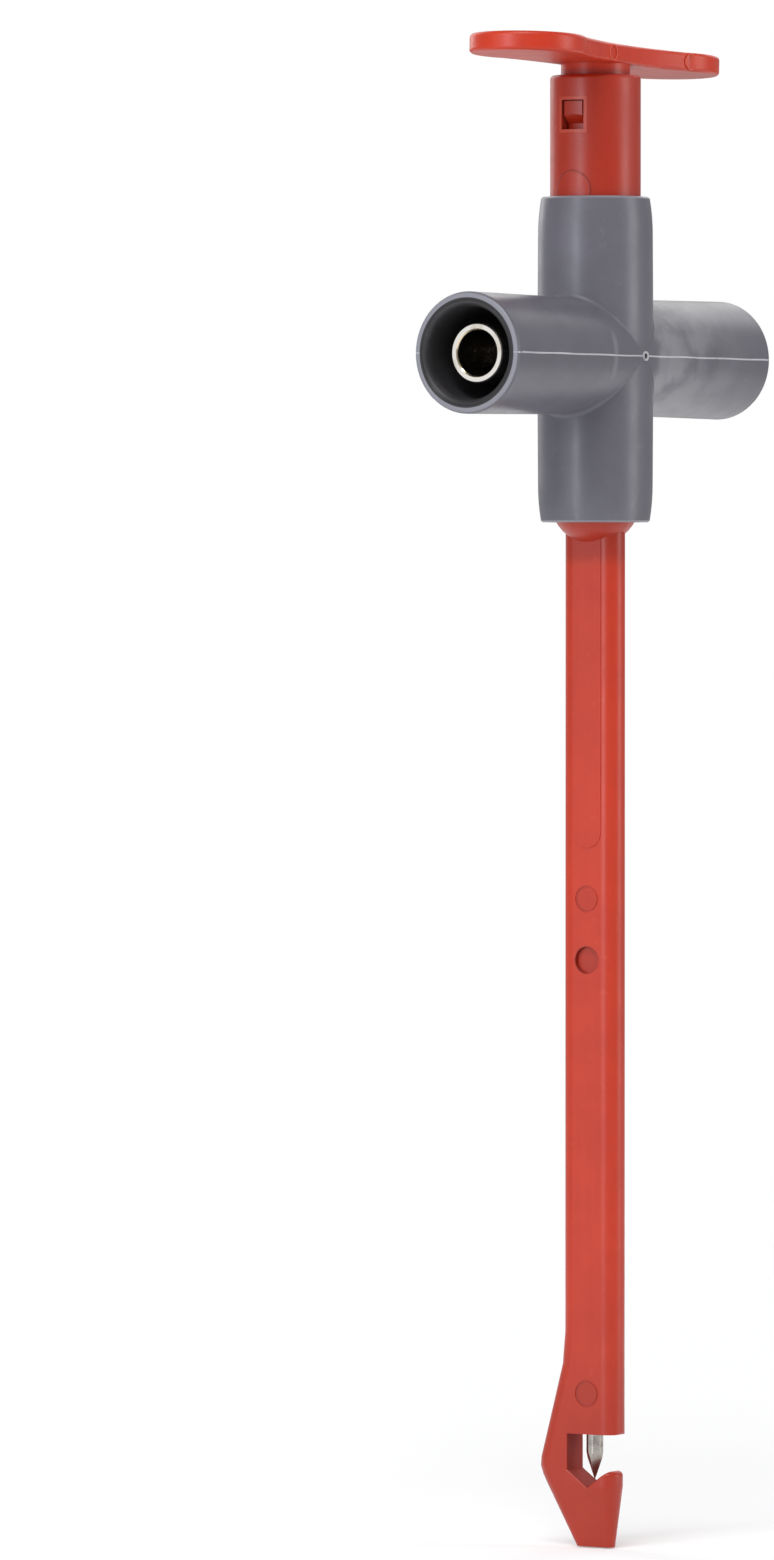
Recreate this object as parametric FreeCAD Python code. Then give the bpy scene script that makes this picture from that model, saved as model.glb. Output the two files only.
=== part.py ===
import FreeCAD, Part
import math
import os

from FreeCAD import Vector

# A spring-loaded piercing clip with two 4 mm sockets. All sizes are in millimetres.
# The origin is where the socket axis crosses the long axis. +Z runs up the long axis to the
# thumb handle, the front socket opens along -Y, and the jaw of the hook opens along +X.

# Socket cross
column_top = 14.05
column_bottom = -14.6
column_diameter = 10.25
column_end_diameter = 9.6
column_draft = 0.065
column_taper_length = 3.4
arm_span = 43.0
arm_root_diameter = 10.2
arm_end_diameter = 10.6
arm_bore_diameter = 8.9
edge_round = 0.3
lip_chamfer = 0.15
web_thickness = 1.65

# Sockets
liner_wall = 0.4
liner_floor = 0.8
liner_recess = 0.3
tube_diameter = 5.2
tube_recess = 1.7
tube_flange_diameter = 6.6
tube_flange_thickness = 0.7
tube_floor = 0.5
socket_bore_diameter = 4.0
socket_lead_in = 0.12
tube_lip_chamfer = 0.1
stub_diameter = 3.0

# Contact block and needle
block_diameter = 5.4
block_top = 3.0
block_bottom = -4.5
block_chamfer = 0.3
needle_diameter = 1.5
needle_point_length = 2.7
needle_point_faces = 4
needle_below_shaft = 4.1
needle_grip = 2.7

# Barrel of the hook shaft
barrel_diameter = 8.0
barrel_top = 24.75
barrel_dome_height = -12.6
barrel_rim_round = 0.35
spring_bore_diameter = 5.6
stem_bore_diameter = 6.2
stem_seat_height = 17.0
barrel_floor_height = -5.0
stroke = 5.0
window_width = 2.25
window_height = 2.6
window_centre_height = 21.2
window_border = 0.28
window_border_height = 0.06

# Shaft
shaft_width = 5.66
shaft_thickness = 2.8
shaft_end_height = -95.1
panel_height = 0.06
panel_end_height = -43.3
mark_diameter = 2.4
mark_heights = (-47.8, -91.5)
mark_groove_width = 0.16
mark_groove_depth = 0.06
blind_hole_height = -53.2
blind_hole_depth = 0.4

# Hook, with heights counted down from the end of the shaft
hook_flare_start = 9.0
hook_flare_knee = (3.2, -3.85)
hook_back_corner = (-3.0, -5.5)
hook_corner_run = 0.75
hook_thin_start = -4.6
hook_toe_height = -10.0
hook_toe_back = -1.75
hook_toe_front = 2.0
hook_toe_thickness = 1.0
beak_front = 2.66
jaw_back = -2.05
jaw_shoulder = -3.2
jaw_bottom = -4.7
beak_tip = (1.95, -3.25)
beak_nose_round = 0.45
jaw_edge_round = 0.12
shaft_end_round = 0.3

# Thumb handle
handle_top = 27.4
handle_lean = 2.2
handle_thickness = 1.7
handle_lobe_radius = 5.1
handle_lobe_offset = 11.4
handle_waist_width = 6.4
handle_corner_offset = 8.8
handle_corner_round = 1.2
handle_edge_round = 0.35
stem_slot_width = 1.4
stem_slot_top = 23.8
snap_side_gap = 0.2
snap_top_gap = 0.1
snap_bottom_gap = 0.55
snap_below_surface = 0.12
snap_ramp_height = 0.8

# Return spring
spring_wire_diameter = 0.5
spring_outer_diameter = 5.0
spring_turns = 7
spring_wire_flats = 8

# Clearances
sliding_gap = 0.05
assembly_gap = 0.02
stem_gap = 0.05
needle_gap = 0.1
slot_gap = 0.1

# Sizes that follow from the ones above
barrel_radius = barrel_diameter / 2
column_bore_radius = barrel_radius + sliding_gap
arm_reach = arm_span / 2
arm_floor = column_bore_radius + web_thickness
stub_radius = stub_diameter / 2
stub_hole_radius = stub_radius + assembly_gap
tube_radius = tube_diameter / 2
tube_mouth = arm_reach - tube_recess
handle_bottom = handle_top - handle_thickness
stem_radius = stem_bore_diameter / 2 - stem_gap
stem_bottom = stem_seat_height + stem_gap
shaft_half_thickness = shaft_thickness / 2
flat_width = shaft_width - shaft_thickness
up = Vector(0, 0, 1)


def cylinder(radius, start, end, axis="z"):
    # A cylinder about one of the axes, between two places along it
    directions = {"x": Vector(1, 0, 0), "y": Vector(0, 1, 0), "z": up}
    direction = directions[axis]
    return Part.makeCylinder(radius, end - start, direction * start, direction)


def block(low, high):
    # A box between two opposite corners
    size = [b - a for a, b in zip(low, high)]
    return Part.makeBox(*size, Vector(*low))


def prism(points, direction):
    # A closed outline of points, carried along a direction
    return Part.Face(Part.makePolygon(points + points[:1])).extrude(direction)


def round_edges(solid, radius, chosen):
    # Rounds the edges for which chosen(edge) is true
    return solid.makeFillet(radius, [edge for edge in solid.Edges if chosen(edge)])


def chamfer_edges(solid, size, chosen):
    # Bevels the edges for which chosen(edge) is true
    return solid.makeChamfer(size, [edge for edge in solid.Edges if chosen(edge)])


def is_circle_at(radius, place, axis):
    # Picks the circular edge of a radius that lies at a place along an axis
    def chosen(edge):
        curve = edge.Curve
        return (
            isinstance(curve, Part.Circle)
            and abs(curve.Radius - radius) < 1e-4
            and abs(getattr(curve.Center, axis) - place) < 1e-4
        )

    return chosen


def column():
    # The upright tube of the cross, drawn in a little at both ends by an arc, with bevelled rims
    middle_radius = column_diameter / 2
    straight_radius = middle_radius - column_draft
    end_radius = column_end_diameter / 2
    drop = straight_radius - end_radius
    edges = []
    for side, height in ((1, column_top), (-1, column_bottom)):
        middle = Vector(middle_radius, 0, 0)
        shoulder = Vector(straight_radius, 0, height - side * column_taper_length)
        half_way = Vector(straight_radius - drop / 4, 0, height - side * column_taper_length / 2)
        end = Vector(end_radius, 0, height - side * lip_chamfer)
        rim = Vector(end_radius - lip_chamfer, 0, height)
        edges.append(Part.makeLine(middle, shoulder))
        edges.append(Part.Arc(shoulder, half_way, end).toShape())
        edges.append(Part.makeLine(end, rim))
        edges.append(Part.makeLine(rim, Vector(0, 0, height)))
    edges.append(Part.makeLine(Vector(0, 0, column_top), Vector(0, 0, column_bottom)))
    profile = Part.Face(Part.Wire(Part.__sortEdges__(edges)))
    return profile.revolve(Vector(0, 0, 0), up, 360)


def arm(side):
    # One socket arm, a slightly flaring tube with rounded lips, open at its outer end
    end_radius = arm_end_diameter / 2
    bore_radius = arm_bore_diameter / 2
    outer = Part.makeCone(arm_root_diameter / 2, end_radius, arm_reach, Vector(0, 0, 0), Vector(0, side, 0))
    outer = round_edges(outer, edge_round, is_circle_at(end_radius, side * arm_reach, "y"))
    ends = sorted((side * arm_floor, side * arm_reach))
    bored = outer.cut(cylinder(bore_radius, *ends, "y"))
    return chamfer_edges(bored, lip_chamfer, is_circle_at(bore_radius, side * arm_reach, "y"))


def cross_housing():
    # The grey moulding: two crossed tubes, with the barrel's bore and a hole for each socket stub
    body = column().fuse([arm(-1), arm(1)]).removeSplitter()
    barrel_bore = cylinder(column_bore_radius, column_bottom - 1, column_top + 1)
    stub_hole = cylinder(stub_hole_radius, -arm_floor - 1, arm_floor + 1, "y")
    return body.cut([barrel_bore, stub_hole])


def socket_liner(side):
    # The black cup inside a socket arm, with a hole in its floor for the contact tube
    outer_radius = arm_bore_diameter / 2 - assembly_gap
    mouth = arm_reach - liner_recess
    start = arm_floor + assembly_gap
    inner_start = start + liner_floor
    cup = cylinder(outer_radius, *sorted((side * start, side * mouth)), "y")
    hollow = cylinder(outer_radius - liner_wall, *sorted((side * inner_start, side * (mouth + 1))), "y")
    hole = cylinder(tube_radius + assembly_gap, *sorted((side * (start - 1), side * (inner_start + 1))), "y")
    cup = cup.cut([hollow, hole])
    return chamfer_edges(cup, liner_wall / 3, is_circle_at(outer_radius - liner_wall, side * mouth, "y"))


def socket_tube(side):
    # The nickel-plated contact: a 4 mm bore, a flange that clamps the liner, and a stub to the block
    start = arm_floor + assembly_gap
    flange_start = start + liner_floor + assembly_gap
    bore_start = start + tube_floor
    radius = socket_bore_diameter / 2
    stub_start = assembly_gap * 5
    tube = cylinder(tube_radius, *sorted((side * start, side * tube_mouth)), "y")
    flange = cylinder(
        tube_flange_diameter / 2,
        *sorted((side * flange_start, side * (flange_start + tube_flange_thickness))),
        "y",
    )
    stub = cylinder(stub_radius, *sorted((side * stub_start, side * (start + tube_floor / 2))), "y")
    solid = tube.fuse([flange, stub]).removeSplitter()
    bore = cylinder(radius, *sorted((side * bore_start, side * (tube_mouth + 1))), "y")
    lead_in = Part.makeCone(
        radius + socket_lead_in,
        radius,
        socket_lead_in,
        Vector(0, side * tube_mouth, 0),
        Vector(0, -side, 0),
    )
    solid = solid.cut([bore, lead_in])
    return chamfer_edges(solid, tube_lip_chamfer, is_circle_at(tube_radius, side * tube_mouth, "y"))


def contact_block():
    # The brass block in the middle, cross-drilled for the two stubs and drilled from below for the needle
    radius = block_diameter / 2
    body = cylinder(radius, block_bottom, block_top)
    for end in (block_top, block_bottom):
        body = chamfer_edges(body, block_chamfer, is_circle_at(radius, end, "z"))
    cross_hole = cylinder(stub_hole_radius, -block_diameter, block_diameter, "y")
    needle_hole = cylinder(needle_diameter / 2 + assembly_gap, block_bottom - 1, block_bottom + needle_grip)
    return body.cut([cross_hole, needle_hole])


def piercing_needle():
    # A long steel rod held in the block, with a point of flat ground faces
    radius = needle_diameter / 2
    tip = shaft_end_height - needle_below_shaft
    top = block_bottom + needle_grip - assembly_gap
    rod = cylinder(radius, tip, top)
    rod = chamfer_edges(rod, block_chamfer / 2, is_circle_at(radius, top, "z"))
    lean = math.atan2(radius, needle_point_length)
    reach = 2 * needle_point_length
    for step in range(needle_point_faces):
        wedge = prism(
            [
                Vector(0, -reach, tip),
                Vector(reach * math.tan(lean), -reach, tip + reach),
                Vector(reach, -reach, tip + reach),
                Vector(reach, -reach, tip),
            ],
            Vector(0, 2 * reach, 0),
        )
        turn = 360 * (step + 0.5) / needle_point_faces
        wedge.rotate(Vector(0, 0, 0), up, turn)
        rod = rod.cut(wedge)
    return rod


def stadium(height, back, front, thickness):
    # A flat-sided outline with full-round ends, level at a height
    half = thickness / 2
    near_back = Vector(back + half, -half, height)
    near_front = Vector(front - half, -half, height)
    far_front = Vector(front - half, half, height)
    far_back = Vector(back + half, half, height)
    return Part.Wire(
        [
            Part.makeLine(near_back, near_front),
            Part.Arc(near_front, Vector(front, 0, height), far_front).toShape(),
            Part.makeLine(far_front, far_back),
            Part.Arc(far_back, Vector(back, 0, height), near_back).toShape(),
        ]
    )


def hook_form():
    # The hook's outer form without its jaw: full-round sections that lean back, turn at a soft
    # corner and thin to the toe
    half = shaft_width / 2
    knee_height, knee_back = hook_flare_knee
    corner_height, corner_back = hook_back_corner
    mid_height = (hook_flare_start + knee_height) / 2
    mid_back = -half + (knee_back + half) / 4
    lean = (knee_back - corner_back) / (knee_height - corner_height)
    fall = (corner_back - hook_toe_back) / (corner_height - hook_toe_height)
    above = corner_back + lean * hook_corner_run
    below = corner_back - fall * hook_corner_run
    turned = (above + 2 * corner_back + below) / 4
    thin_back = corner_back - fall * (corner_height - hook_thin_start)
    thick = shaft_thickness
    sections = [
        (hook_flare_start, -half, half, thick),
        (mid_height, mid_back, half, thick),
        (knee_height, knee_back, half, thick),
        (corner_height + hook_corner_run, above, half, thick),
        (corner_height, turned, beak_front, thick),
        (corner_height - hook_corner_run, below, beak_front, thick),
        (hook_thin_start, thin_back, beak_front, thick),
        (hook_toe_height, hook_toe_back, hook_toe_front, hook_toe_thickness),
    ]
    outlines = [stadium(shaft_end_height + height, *size) for height, *size in sections]
    return Part.makeLoft(outlines, True, True)


def jaw_space():
    # What the jaw cuts out: a back wall, a V under the needle, the beak's top and the rounded front
    # corner of the shaft's end
    tip_out, tip_height = beak_tip
    reach = shaft_width
    front = shaft_width / 2
    bulge = shaft_end_round * (1 - math.sqrt(0.5))

    def at(x, height):
        return Vector(x, -shaft_thickness, shaft_end_height + height)

    corners = [
        at(front - shaft_end_round, 0),
        at(jaw_back, 0),
        at(jaw_back, jaw_shoulder),
        at(0, jaw_bottom),
        at(tip_out, tip_height),
        at(reach, tip_height),
        at(reach, shaft_end_round),
        at(front, shaft_end_round),
    ]
    edges = [Part.makeLine(a, b) for a, b in zip(corners, corners[1:])]
    edges.append(Part.Arc(corners[-1], at(front - bulge, bulge), corners[0]).toShape())
    return Part.Face(Part.Wire(edges)).extrude(Vector(0, 2 * shaft_thickness, 0))


def is_beak_rim(edge):
    # Picks the rim of the beak's top, where it runs round the nose
    tip_out, tip_height = beak_tip
    box = edge.BoundBox
    level = box.ZLength < 1e-3 and abs(box.ZMax - shaft_end_height - tip_height) < 1e-3
    return level and box.XMax > tip_out + beak_nose_round / 2


def jawed_hook():
    # The hook with its jaw cut out and the nose of its beak rounded
    return round_edges(hook_form().cut(jaw_space()), beak_nose_round, is_beak_rim)


def barrel():
    # The hollow upper end: domed below, with a seat for the handle's stem and a window on each side
    dome = Part.makeSphere(barrel_radius, Vector(0, 0, barrel_dome_height))
    tube = cylinder(barrel_radius, barrel_dome_height, barrel_top)
    tube = round_edges(tube, barrel_rim_round, is_circle_at(barrel_radius, barrel_top, "z"))
    border_across = window_width / 2 + window_border
    border_up = window_height / 2 + window_border
    border_block = block(
        (-border_across, -barrel_diameter, window_centre_height - border_up),
        (border_across, barrel_diameter, window_centre_height + border_up),
    )
    border_ring = cylinder(barrel_radius + window_border_height, barrel_dome_height, barrel_top)
    return tube.fuse([dome, border_ring.common(border_block)])


def barrel_cuts():
    # The barrel's bore, its stem seat, the windows and the two slots that the socket stubs run in
    half_slot = stub_radius + slot_gap
    window = block(
        (-window_width / 2, -barrel_diameter, window_centre_height - window_height / 2),
        (window_width / 2, barrel_diameter, window_centre_height + window_height / 2),
    )
    slot_ends = [cylinder(half_slot, -barrel_diameter, barrel_diameter, "y") for _ in range(2)]
    slot_ends[1].translate(up * stroke)
    slot_middle = block((-half_slot, -barrel_diameter, 0), (half_slot, barrel_diameter, stroke))
    return [
        cylinder(spring_bore_diameter / 2, barrel_floor_height, barrel_top + 1),
        cylinder(stem_bore_diameter / 2, stem_seat_height, barrel_top + 1),
        window,
        slot_middle,
    ] + slot_ends


def shaft_marks():
    # The blind hole and the two shallow ring grooves on the front flat
    face = -shaft_half_thickness
    radius = mark_diameter / 2
    hole = cylinder(radius, face - 1, face + blind_hole_depth, "y")
    hole.translate(up * blind_hole_height)
    cuts = [hole]
    for height in mark_heights:
        groove = cylinder(radius, face - 1, face + mark_groove_depth, "y")
        groove = groove.cut(cylinder(radius - mark_groove_width, face - 2, face + 1, "y"))
        groove.translate(up * height)
        cuts.append(groove)
    return cuts


def shaft_panel():
    # The slightly raised panel down the front flat, with a round lower end
    radius = flat_width / 2
    face = -shaft_half_thickness
    straight_end = panel_end_height + radius
    panel = block((-radius, face - panel_height, straight_end), (radius, 0, barrel_dome_height))
    end = cylinder(radius, face - panel_height, 0, "y")
    end.translate(up * straight_end)
    return panel.fuse(end)


def is_jaw_edge(edge):
    # Picks the edges of the jaw's back wall and V where they meet the two flat faces
    box = edge.BoundBox
    middle = edge.CenterOfMass
    height = middle.z - shaft_end_height
    near = jaw_edge_round / 3
    if abs(abs(middle.y) - shaft_half_thickness) > near or box.ZLength < near:
        return False
    tip_out, tip_height = beak_tip
    back_slope = (jaw_shoulder - jaw_bottom) / jaw_back
    beak_slope = (tip_height - jaw_bottom) / tip_out
    on_wall = box.XMax < jaw_back + near and box.XMin > jaw_back - near and height < 0
    on_back_slope = jaw_back < middle.x < 0 and abs(height - jaw_bottom - back_slope * middle.x) < near
    on_beak_slope = 0 < middle.x < tip_out and abs(height - jaw_bottom - beak_slope * middle.x) < near
    return on_wall or on_back_slope or on_beak_slope


def hook_shaft():
    # The red moulding: barrel, flat-sided shaft and hook in one piece, bored for the needle
    half = shaft_width / 2
    outline = stadium(shaft_end_height + hook_flare_start, -half, half, shaft_thickness)
    run = barrel_dome_height - shaft_end_height - hook_flare_start
    shaft = Part.Face(outline).extrude(up * run)
    body = shaft.fuse([jawed_hook(), barrel(), shaft_panel()]).removeSplitter()
    needle_way = cylinder(
        needle_diameter / 2 + needle_gap, shaft_end_height + jaw_shoulder, barrel_floor_height + 1
    )
    body = body.cut([needle_way] + barrel_cuts() + shaft_marks())
    return round_edges(body, jaw_edge_round, is_jaw_edge)


def handle_plate():
    # The bow-tie thumb plate: two round lobes along Y, joined by hollow sides. It leans a little on
    # its stem, the front lobe higher
    corner_out = math.sqrt(handle_lobe_radius**2 - (handle_lobe_offset - handle_corner_offset) ** 2)
    waist = handle_waist_width / 2
    tip = handle_lobe_offset + handle_lobe_radius
    corner = handle_corner_offset

    def at(x, y):
        return Vector(x, y, handle_bottom)

    edges = [
        Part.Arc(at(corner_out, corner), at(0, tip), at(-corner_out, corner)).toShape(),
        Part.Arc(at(-corner_out, corner), at(-waist, 0), at(-corner_out, -corner)).toShape(),
        Part.Arc(at(-corner_out, -corner), at(0, -tip), at(corner_out, -corner)).toShape(),
        Part.Arc(at(corner_out, -corner), at(waist, 0), at(corner_out, corner)).toShape(),
    ]
    plate = Part.Face(Part.Wire(edges)).extrude(up * handle_thickness)
    plate = round_edges(plate, handle_corner_round, lambda edge: edge.BoundBox.ZLength > handle_thickness / 2)
    plate = round_edges(plate, handle_edge_round, lambda edge: edge.BoundBox.ZLength < handle_thickness / 2)
    plate.rotate(Vector(0, 0, handle_bottom), Vector(1, 0, 0), -handle_lean)
    return plate


def snap_tab(side):
    # A ramped catch on one finger of the stem, shaped to the barrel's wall, filling its window
    across = window_width / 2 - snap_side_gap
    top = window_centre_height + window_height / 2 - snap_top_gap
    bottom = window_centre_height - window_height / 2 + snap_bottom_gap
    out = barrel_radius - snap_below_surface
    root = stem_radius - stem_slot_width / 2
    ramp_top = bottom + snap_ramp_height
    tab = prism(
        [
            Vector(-across, side * root, top),
            Vector(-across, side * out, top),
            Vector(-across, side * out, ramp_top),
            Vector(-across, side * stem_radius, bottom),
            Vector(-across, side * root, bottom),
        ],
        Vector(2 * across, 0, 0),
    )
    return tab.common(cylinder(out, bottom - 1, top + 1))


def wing_handle():
    # The red thumb handle: its plate, its neck, and a split stem with two snap tabs
    stem = cylinder(stem_radius, stem_bottom, handle_bottom + handle_thickness / 2)
    gap = block(
        (-stem_bore_diameter, -stem_slot_width / 2, stem_bottom - 1),
        (stem_bore_diameter, stem_slot_width / 2, stem_slot_top),
    )
    return handle_plate().fuse([stem.cut(gap), snap_tab(-1), snap_tab(1)]).removeSplitter()


def return_spring():
    # A compression coil between the block and the handle's stem, its end turns cut flat. The round
    # wire is drawn with a few flats
    low = block_top + stem_gap
    high = stem_bottom - stem_gap
    radius = (spring_outer_diameter - spring_wire_diameter) / 2
    pitch = (high - low) / spring_turns
    path = Part.makeHelix(pitch, high - low, radius)
    path.translate(up * low)
    corners = []
    for step in range(spring_wire_flats + 1):
        angle = 2 * math.pi * (step + 0.5) / spring_wire_flats
        out = radius + spring_wire_diameter / 2 * math.cos(angle)
        corners.append(Vector(out, 0, low + spring_wire_diameter / 2 * math.sin(angle)))
    coil = Part.Wire(path).makePipeShell([Part.makePolygon(corners)], True, True)
    keep = cylinder(spring_outer_diameter, low, high)
    return coil.common(keep)


def main():
    pieces = {
        "cross_housing": cross_housing(),
        "front_socket_liner": socket_liner(-1),
        "rear_socket_liner": socket_liner(1),
        "front_socket_tube": socket_tube(-1),
        "rear_socket_tube": socket_tube(1),
        "contact_block": contact_block(),
        "piercing_needle": piercing_needle(),
        "hook_shaft": hook_shaft(),
        "wing_handle": wing_handle(),
        "return_spring": return_spring(),
    }
    os.makedirs("parts", exist_ok=True)
    for name, shape in pieces.items():
        shape.exportStep(f"parts/{name}.step")
        print(name, len(shape.Solids), shape.isValid(), round(shape.Volume, 2))


main()
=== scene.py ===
import math

import bpy
import numpy as np
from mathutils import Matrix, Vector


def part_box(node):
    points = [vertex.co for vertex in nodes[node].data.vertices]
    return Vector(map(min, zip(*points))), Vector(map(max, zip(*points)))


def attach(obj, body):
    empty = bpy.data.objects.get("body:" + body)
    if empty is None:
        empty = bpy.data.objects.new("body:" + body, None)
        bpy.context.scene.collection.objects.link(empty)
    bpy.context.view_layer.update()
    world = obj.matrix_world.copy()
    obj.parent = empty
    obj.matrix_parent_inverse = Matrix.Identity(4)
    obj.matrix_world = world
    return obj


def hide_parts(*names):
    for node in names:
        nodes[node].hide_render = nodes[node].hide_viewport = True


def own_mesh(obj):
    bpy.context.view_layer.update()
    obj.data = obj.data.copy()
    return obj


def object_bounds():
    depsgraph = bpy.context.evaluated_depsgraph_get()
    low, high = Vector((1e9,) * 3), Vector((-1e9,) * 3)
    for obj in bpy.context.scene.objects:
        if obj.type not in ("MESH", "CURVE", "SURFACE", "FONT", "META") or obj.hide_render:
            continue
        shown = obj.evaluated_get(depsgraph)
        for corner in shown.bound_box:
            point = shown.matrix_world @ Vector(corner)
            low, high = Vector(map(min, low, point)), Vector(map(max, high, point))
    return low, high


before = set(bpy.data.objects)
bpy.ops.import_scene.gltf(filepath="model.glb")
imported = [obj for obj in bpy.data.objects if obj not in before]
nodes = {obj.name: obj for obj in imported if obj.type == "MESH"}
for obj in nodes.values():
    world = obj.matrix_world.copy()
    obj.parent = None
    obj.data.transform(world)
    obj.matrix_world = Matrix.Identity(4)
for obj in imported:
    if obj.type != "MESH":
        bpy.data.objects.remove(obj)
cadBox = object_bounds()
mm = 0.001
sharpAngle = math.radians(40)  # edges past this angle stay crisp on the smooth-shaded pieces
noiseMiddle = 0.5
print("frame loaded,", len(nodes), "nodes")


# Mesh helpers
def gridFaces(rows, cols, wrapRows, wrapCols):
    # each cell of a rows by cols grid as a quad, wrapped round where asked
    r = np.arange(rows if wrapRows else rows - 1)
    c = np.arange(cols if wrapCols else cols - 1)
    r, c = np.meshgrid(r, c, indexing="ij")
    r2, c2 = (r + 1) % rows, (c + 1) % cols
    corners = [r * cols + c, r * cols + c2, r2 * cols + c2, r2 * cols + c]
    return np.stack(corners, -1).reshape(-1, 4)


def closedTube(rings, wrapRows=False):
    # rings is an (n, m, 3) array of closed sections. The ends get a fan round their middle point,
    # and the faces are turned so that the enclosed volume, the sum of p0.(p1 x p2)/6, is positive
    rows, cols = rings.shape[:2]
    points = rings.reshape(-1, 3)
    quads = gridFaces(rows, cols, wrapRows, True)
    tris = np.concatenate([quads[:, [0, 1, 2]], quads[:, [0, 2, 3]]])
    if not wrapRows:
        middles = rings[[0, -1]].mean(axis=1)
        first = np.arange(cols)
        last = first + (rows - 1) * cols
        hub = len(points)
        points = np.concatenate([points, middles])
        capA = np.stack([np.full(cols, hub), np.roll(first, -1), first], -1)
        capB = np.stack([np.full(cols, hub + 1), last, np.roll(last, -1)], -1)
        tris = np.concatenate([tris, capA, capB])
    a, b, c = points[tris[:, 0]], points[tris[:, 1]], points[tris[:, 2]]
    if np.einsum("ij,ij->i", a, np.cross(b, c)).sum() < 0:
        tris = tris[:, ::-1]
    return points, tris


def roundAngles(count):
    # equal steps round a circle
    return np.linspace(0, 2 * math.pi, count, endpoint=False)


def ridge(line, outward, width, height, closed=False, sides=12):
    # a low half-round bead along a line on a surface: p + h cos b n + (w/2) sin b (t x n), where
    # n is the surface's outward direction, t the line's own, and h may change along the line
    if closed:
        along = np.roll(line, -1, axis=0) - np.roll(line, 1, axis=0)
    else:
        along = np.gradient(line, axis=0)
    side = np.cross(along, outward)
    side /= np.linalg.norm(side, axis=1, keepdims=True)
    b = roundAngles(sides)[None, :, None]
    height = np.broadcast_to(height, len(line))[:, None, None]
    rings = line[:, None] + height * np.cos(b) * outward[:, None] + width / 2 * np.sin(b) * side[:, None]
    return closedTube(rings, wrapRows=closed)


def makePiece(name, parts, body, material):
    # joins closed shells (points, triangles) into one smooth-shaded mesh that rides on a body
    points = np.concatenate([p for p, _ in parts])
    shift = np.cumsum([0] + [len(p) for p, _ in parts[:-1]])
    tris = np.concatenate([t + s for (_, t), s in zip(parts, shift)])
    mesh = bpy.data.meshes.new(name)
    mesh.from_pydata(points.tolist(), [], tris.tolist())
    mesh.shade_smooth()
    mesh.set_sharp_from_angle(angle=sharpAngle)
    piece = bpy.data.objects.new(name, mesh)
    bpy.context.scene.collection.objects.link(piece)
    mesh.materials.append(material)
    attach(piece, body)
    print("made", name, len(tris), "triangles")
    return piece


# Node helpers
def addNode(tree, kind, inputs=None, **settings):
    node = tree.nodes.new(kind)
    for key, value in settings.items():
        setattr(node, key, value)
    for key, value in (inputs or {}).items():
        if isinstance(value, bpy.types.NodeSocket):
            tree.links.new(value, node.inputs[key])
        else:
            node.inputs[key].default_value = value
    return node


def mathNode(tree, operation, a, b=0.0, clamp=False):
    return addNode(tree, "ShaderNodeMath", {0: a, 1: b}, operation=operation, use_clamp=clamp).outputs[0]


def productNode(tree, first, *others):
    for other in others:
        first = mathNode(tree, "MULTIPLY", first, other)
    return first


def offsetNode(tree, value, middle=0.0):
    # |value - middle|
    return mathNode(tree, "ABSOLUTE", mathNode(tree, "SUBTRACT", value, middle))


def distanceNode(tree, a, b):
    # sqrt(a^2 + b^2)
    squares = mathNode(tree, "ADD", mathNode(tree, "POWER", a, 2.0), mathNode(tree, "POWER", b, 2.0))
    return mathNode(tree, "SQRT", squares)


def stretchNode(tree, place, factors):
    return addNode(tree, "ShaderNodeVectorMath", {0: place, 1: factors}, operation="MULTIPLY").outputs[0]


def lengthNode(tree, place):
    return addNode(tree, "ShaderNodeVectorMath", {0: place}, operation="LENGTH").outputs["Value"]


def rampNode(tree, value, low, high, top=1.0, kind="SMOOTHSTEP"):
    # rises from 0 at low to top at high, or falls where low is the larger
    inputs = {"Value": value, "From Min": low, "From Max": high, "To Max": top}
    return addNode(tree, "ShaderNodeMapRange", inputs, interpolation_type=kind).outputs[0]


def noiseNode(tree, vector, scale, detail=2.0, roughness=0.5):
    inputs = {"Vector": vector, "Scale": scale, "Detail": detail, "Roughness": roughness}
    return addNode(tree, "ShaderNodeTexNoise", inputs).outputs["Fac"]


def mixColour(tree, share, a, b):
    # inputs 0, 6 and 7 and output 2 are the Mix node's colour sockets
    node = addNode(tree, "ShaderNodeMix", data_type="RGBA")
    for socket, value in zip((node.inputs[0], node.inputs[6], node.inputs[7]), (share, a, b)):
        if isinstance(value, bpy.types.NodeSocket):
            tree.links.new(value, socket)
        else:
            socket.default_value = value
    return node.outputs[2]


def srgb(red, green, blue):
    # 0 to 255 screen values to a linear colour
    share = np.array([red, green, blue]) / 255
    linear = np.where(share <= 0.04045, share / 12.92, ((share + 0.055) / 1.055) ** 2.4)
    return (*linear.tolist(), 1.0)


def tintNode(tree, colour, share, target):
    return mixColour(tree, share, colour, srgb(*target))


def newGroup(name, inputs, outputs):
    tree = bpy.data.node_groups.new(name, "ShaderNodeTree")
    for label, kind, value in inputs:
        socket = tree.interface.new_socket(label, in_out="INPUT", socket_type="NodeSocket" + kind)
        socket.default_value = value
    for label, kind in outputs:
        tree.interface.new_socket(label, in_out="OUTPUT", socket_type="NodeSocket" + kind)
    return tree, tree.nodes.new("NodeGroupInput"), tree.nodes.new("NodeGroupOutput")


# Injection-moulded plastic: cloudy colour, faint flow streaks along Z, a fine satin grain and
# small rubbed spots that are smoother and lighter. A noise is its scale, detail and roughness
moulding = {
    "cloudNoise": (4.0, 0.55),  # the scale comes from the material
    "cloudRange": (0.35, 0.65),
    "cloudShare": 0.65,
    "streakNoise": (1400.0, 2.0),
    "streakRange": (0.3, 0.7),
    "streakShare": 0.35,
    "rubbedNoise": (900.0, 6.0, 0.7),
    "rubbedRange": (0.6, 0.78),
    "rubbedShare": 0.5,
    "rubbedGloss": 0.2,
    "grainNoise": (3.0, 0.6),  # the scale comes from the material
    "waveNoise": (420.0, 1.0),
    "waveShare": 1.2,
    "roughSpread": 0.22,
}


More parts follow.
